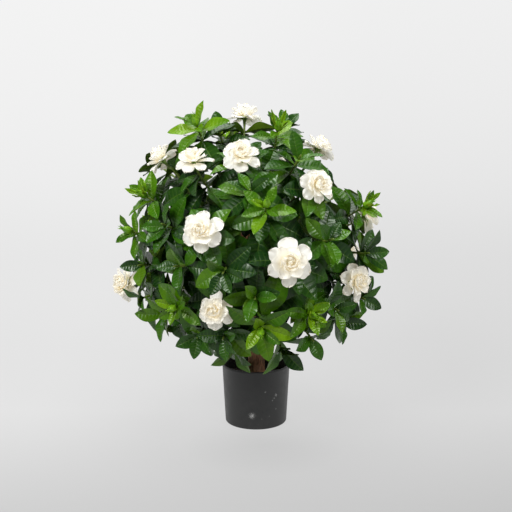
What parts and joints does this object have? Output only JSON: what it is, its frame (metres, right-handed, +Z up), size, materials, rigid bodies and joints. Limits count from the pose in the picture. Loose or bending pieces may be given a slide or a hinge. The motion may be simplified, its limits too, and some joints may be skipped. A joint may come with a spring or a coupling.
{
  "type": "potted gardenia",
  "caption": "Double white gardenia grown as a round leafy ball on a short woody trunk, in a plain black nursery pot",
  "frame": {"origin": "middle of the pot's flat underside, where it rests", "axes": "+Z up the trunk, +Y away from the viewer of the fullest side, +X to the viewer's right"},
  "size_m": [0.5804, 0.5662, 0.7151],
  "materials": {
    "pot_plastic": "matte black moulded plastic with light scuffs and dust",
    "potting_soil": "dark crumbly peat and bark mix",
    "bark": "fissured reddish-brown bark",
    "leaves": "glossy deep green leaves with sunken veins, on green stems",
    "young_leaves": "glossy yellow-green young leaves round pointed buds",
    "petals": "soft white petals, cream towards the middle"
  },
  "bodies": {
    "root": {"pot": "pot_plastic", "soil": "potting_soil", "trunk": "bark", "bloom_01": "petals", "bloom_02": "petals", "bloom_03": "petals", "bloom_04": "petals", "bloom_05": "petals", "bloom_06": "petals", "bloom_07": "petals", "bloom_08": "petals", "bloom_09": "petals", "bloom_10": "petals", "bloom_11": "petals", "bloom_12": "petals", "bloom_13": "petals", "bloom_14": "petals", "bloom_15": "petals", "bloom_16": "petals", "bloom_17": "petals", "spray_01": "leaves", "spray_02": "leaves", "spray_03": "leaves", "spray_04": "leaves", "spray_05": "leaves", "spray_06": "leaves", "spray_07": "leaves", "spray_08": "leaves", "spray_09": "leaves", "spray_10": "leaves", "spray_11": "leaves", "spray_12": "leaves", "spray_13": "leaves", "spray_14": "leaves", "spray_15": "leaves", "tip_01": "young_leaves", "tip_02": "young_leaves", "tip_03": "young_leaves", "tip_04": "young_leaves", "tip_05": "young_leaves", "tip_06": "young_leaves", "tip_07": "young_leaves", "tip_08": "young_leaves", "tip_09": "young_leaves", "tip_10": "young_leaves", "tip_11": "young_leaves", "tip_12": "young_leaves", "tip_13": "young_leaves", "tip_14": "young_leaves"}
  },
  "joints": []
}
